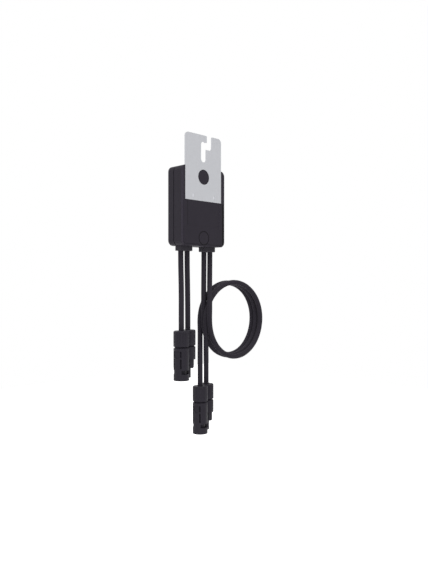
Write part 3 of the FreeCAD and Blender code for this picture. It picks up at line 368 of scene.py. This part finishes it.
# Keys, each the angle turned through in degrees and a depth in millimetres or a lean in degrees
SLEEVE_DEPTHS = [(0, 21.1), (50, 21.1), (120, 16.1), (180, 16.1)]
SLEEVE_OUTER_DEPTHS = [(540, 22.6), (720, 27.5)]
SLEEVE_FIRST_LEANS = [(180, -90.0), (290, -90.0), (360, -30.0)]
SLEEVE_SECOND_LEANS = [(360, 30.0), (384, 0.0), (405, 0.0), (455, 90.0), (540, 90.0)]
SLEEVE_NARROWING = 2.2
PLUG_DEPTHS = [(0, 8.2), (180, 8.2), (360, 14.8)]


def ring_point(turned, deep, radius):
    """A point of the ring. The angle counts from its left side, down and round."""
    across, up = RING_CENTRE
    reach = radius / math.cos(math.pi / TURN_POINTS)
    angle = math.radians(turned)
    return (across - reach * math.cos(angle), deep, up - reach * math.sin(angle))


def between(turned, keys):
    """A value at an angle, eased between (angle, value) keys."""
    for (start, low), (end, high) in zip(keys, keys[1:]):
        if turned <= end:
            share = (turned - start) / (end - start)
            return low + (high - low) * (1 - math.cos(math.pi * share)) / 2
    return keys[-1][1]


def plug_strand(turned):
    """The plug's cable makes one plain turn in front of the other."""
    return between(turned, PLUG_DEPTHS), RING_RADIUS


def sleeve_strand(turned):
    """Depth and radius of the sleeve's cable.

    Its first and last half turns are plain. The two half turns between them lie a strand's
    width beside these, at a lean that goes from in front, over the ring's inside, to behind.
    """
    left_share = (1 + math.cos(math.radians(turned))) / 2
    radius = RING_RADIUS - SLEEVE_NARROWING * left_share ** 2
    if turned <= 180:
        return between(turned, SLEEVE_DEPTHS), radius
    if turned > 540:
        return between(turned, SLEEVE_OUTER_DEPTHS), radius
    if turned <= 360:
        lean = math.radians(between(turned, SLEEVE_FIRST_LEANS))
        beside = between(turned + 360, SLEEVE_OUTER_DEPTHS)
    else:
        lean = math.radians(between(turned, SLEEVE_SECOND_LEANS))
        beside = between(turned - 360, SLEEVE_DEPTHS)
    return beside + STRAND_STEP * math.sin(lean), radius - STRAND_STEP * math.cos(lean)


def wound(laps, strand):
    """The points of a cable's turns, with the depth and radius that strand gives."""
    angles = [360.0 * index / TURN_POINTS for index in range(laps * TURN_POINTS + 1)]
    return [ring_point(turned, *strand(turned)) for turned in angles]


# The cables. Each has its name, the side of its boot and its place there, its middle points, its
# connector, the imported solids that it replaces, and how it lies.
CABLES = [
    ("input_sleeve_lead", -1, -1, [(-25.1, 11.7, -50.0)],
     "input_sleeve", ["input_sleeve_cable"], "hanging"),
    ("input_plug_lead", -1, 1, [(-11.6, 15.7, -50.0)],
     "input_plug", ["input_plug_cable"], "hanging"),
    ("output_sleeve_lead", 1, -1,
     [(16.9, 17.5, -48.0), (20.1, 21.0, -74.0)]
     + wound(2, sleeve_strand)
     + [(20.3, 27.4, -100.0), (19.6, 26.7, -117.0), (15.6, 22.6, -135.0)],
     "output_sleeve",
     ["output_sleeve_cable_upper", "output_sleeve_cable_lower", "cable_coil_rear"], "coiled"),
    ("output_plug_lead", 1, 1,
     [(21.6, 12.0, -48.0), (18.4, 8.4, -74.0)]
     + wound(1, plug_strand)
     + [(18.1, 14.7, -100.0), (19.5, 16.1, -117.0), (25.6, 22.2, -135.0)],
     "output_plug",
     ["output_plug_cable_upper", "output_plug_cable_lower", "cable_coil_front"], "coiled"),
]


def from_boot(side, shift):
    """The first points of a cable, inside its boot and below it. side and shift are -1 or 1."""
    across = side * BOOT_OFFSET + shift * CABLE_PITCH / 2
    return [(across, BOOT_DEPTH, CABLE_INSIDE), (across, BOOT_DEPTH, BOOT_STRAIGHT)]


def into_connector(name):
    """The last points of a cable, above its connector and inside it."""
    across, deep, drop = CONNECTOR_PLACES[name]
    return [(across, deep, -drop + NUT_STRAIGHT), (across, deep, -drop - CABLE_IN_CONNECTOR)]


def cable_curve(name, points, material):
    """A round cable on a smooth curve through the route's points."""
    curve = bpy.data.curves.new(name, "CURVE")
    curve.dimensions = "3D"
    curve.resolution_u = 8
    curve.bevel_depth = CABLE_DIAMETER / 2 * MM
    curve.bevel_resolution = 6
    curve.use_fill_caps = True
    spline = curve.splines.new("NURBS")
    spline.points.add(len(points) - 1)
    for target, place in zip(spline.points, points):
        target.co = (*metres(*place), 1.0)
    spline.order_u = 3
    spline.use_endpoint_u = True
    curve.materials.append(material)
    piece = bpy.data.objects.new(name, curve)
    bpy.context.scene.collection.objects.link(piece)
    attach(piece, "root")
    return piece


def curve_length(piece):
    """Length of the curve itself, from its evaluated line without the bevel."""
    plain = piece.data.copy()
    plain.bevel_depth = 0.0
    holder = bpy.data.objects.new("measured", plain)
    mesh = bpy.data.meshes.new_from_object(holder)
    places = [vertex.co.copy() for vertex in mesh.vertices]
    total = sum((second - first).length for first, second in zip(places, places[1:]))
    bpy.data.objects.remove(holder)
    bpy.data.meshes.remove(mesh)
    bpy.data.curves.remove(plain)
    return total


def lay_cable(name, side, shift, middle, connector, replaced, lay, material):
    """One cable from inside its boot, by its middle points, into its connector."""
    points = from_boot(side, shift) + middle + into_connector(connector)
    piece = cable_curve(name, points, material)
    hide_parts(*replaced)
    length = curve_length(piece)
    print("%s: %.3f m" % (name, length))


# Studio

def seen_directly(tree):
    """1 for a ray from the camera or from a mirror or glass, else 0."""
    path = tree.nodes.new("ShaderNodeLightPath")
    total = path.outputs["Is Camera Ray"]
    for name in ("Is Glossy Ray", "Is Transmission Ray"):
        total = calculate(tree, "MAXIMUM", total, path.outputs[name])
    return total


def make_floor():
    """A pale floor that looks white to the camera and still lights the object plainly."""
    bpy.ops.mesh.primitive_plane_add(size=FLOOR_SIZE, location=(0, 0, -FLOOR_DROP))
    floor = bpy.context.object
    floor.name = "studio_floor"
    made, tree = new_material("studio_floor")
    shader = tree.nodes["Principled BSDF"]
    shader.inputs["Base Color"].default_value = (FLOOR_GREY, FLOOR_GREY, FLOOR_GREY, 1.0)
    shader.inputs["Roughness"].default_value = 0.9
    glow = add(tree, "ShaderNodeEmission")
    tree.links.new(seen_directly(tree), glow.inputs["Strength"])
    both = tree.nodes.new("ShaderNodeAddShader")
    tree.links.new(shader.outputs["BSDF"], both.inputs[0])
    tree.links.new(glow.outputs["Emission"], both.inputs[1])
    tree.links.new(both.outputs["Shader"], tree.nodes["Material Output"].inputs["Surface"])
    floor.data.materials.append(made)


def make_world():
    """A white world whose light on the object is weaker than its look to the camera."""
    world = bpy.data.worlds.new("studio")
    bpy.context.scene.world = world
    world.use_nodes = True
    tree = world.node_tree
    background = tree.nodes["Background"]
    background.inputs["Color"].default_value = (1, 1, 1, 1)
    power = add(tree, "ShaderNodeMapRange", To_Min=WORLD_STRENGTH, To_Max=1.0)
    tree.links.new(seen_directly(tree), power.inputs["Value"])
    tree.links.new(power.outputs["Result"], background.inputs["Strength"])


def soft_light(name, place, size, power):
    data = bpy.data.lights.new(name, "AREA")
    data.shape = "SQUARE"
    data.size = size
    data.energy = power
    lamp = bpy.data.objects.new(name, data)
    lamp.location = place
    aim = Vector(LAMP_TARGET) - Vector(place)
    lamp.rotation_euler = aim.to_track_quat("-Z", "Y").to_euler()
    bpy.context.scene.collection.objects.link(lamp)


def make_camera():
    data = bpy.data.cameras.new("camera")
    data.sensor_fit = "VERTICAL"
    data.sensor_height = SENSOR
    data.lens = FOCAL_PIXELS * SENSOR / PICTURE_HEIGHT
    camera = bpy.data.objects.new("camera", data)
    camera.location = metres(*CAMERA_PLACE)
    camera.rotation_euler = (math.radians(90), 0, math.radians(CAMERA_HEADING))
    bpy.context.scene.collection.objects.link(camera)
    bpy.context.scene.camera = camera


make_camera()
MATERIALS = make_materials()
finish_nodes(MATERIALS)
for cable in CABLES:
    lay_cable(*cable, MATERIALS["cable"])
make_floor()
make_world()
for settings in LAMPS:
    soft_light(*settings)
bpy.context.scene.view_settings.view_transform = "Standard"
